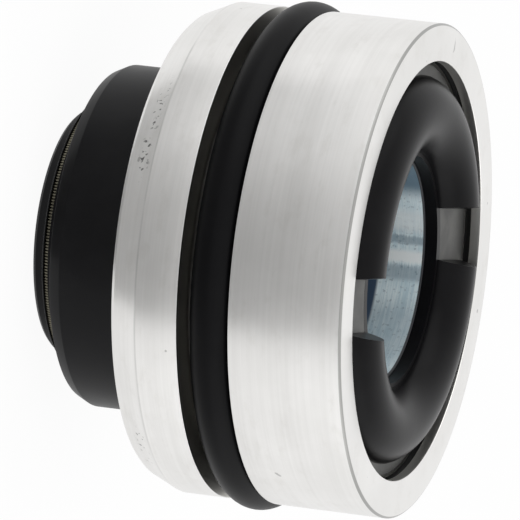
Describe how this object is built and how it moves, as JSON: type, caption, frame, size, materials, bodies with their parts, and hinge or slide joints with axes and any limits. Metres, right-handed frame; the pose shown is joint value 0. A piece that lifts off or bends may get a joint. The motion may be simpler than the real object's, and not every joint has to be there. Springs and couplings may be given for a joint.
{
  "type": "shock absorber seal head",
  "caption": "Turned aluminium seal head that guides and seals a damper rod, with body O-ring, dust seal with garter spring, plain bush and notched rubber rebound bumper.",
  "frame": {"origin": "centre of the dust lip's end, on the rod axis, at the part's lowest point", "axes": "+Z along the rod axis from the dust seal to the mouth on the oil side, -Y toward the viewer of the picture"},
  "size_m": [0.0412, 0.0412, 0.0304],
  "materials": {
    "turned_aluminium": "satin, fine turned marks",
    "ring_rubber": "smooth, slightly shiny",
    "seal_rubber": "moulded satin",
    "bumper_rubber": "moulded matt",
    "bush_metal": "bluish grey, drawn bore",
    "spring_steel": "fine coil",
    "plate_steel": "plain grey"
  },
  "bodies": {
    "root": {"seal_head_body": "turned_aluminium", "body_o_ring": "ring_rubber", "rod_bush": "bush_metal", "dust_seal": "seal_rubber", "dust_seal_spring": "spring_steel", "oil_seal": "seal_rubber", "oil_seal_spring": "spring_steel", "bumper_plate": "plate_steel", "rebound_bumper": "bumper_rubber"}
  },
  "joints": []
}
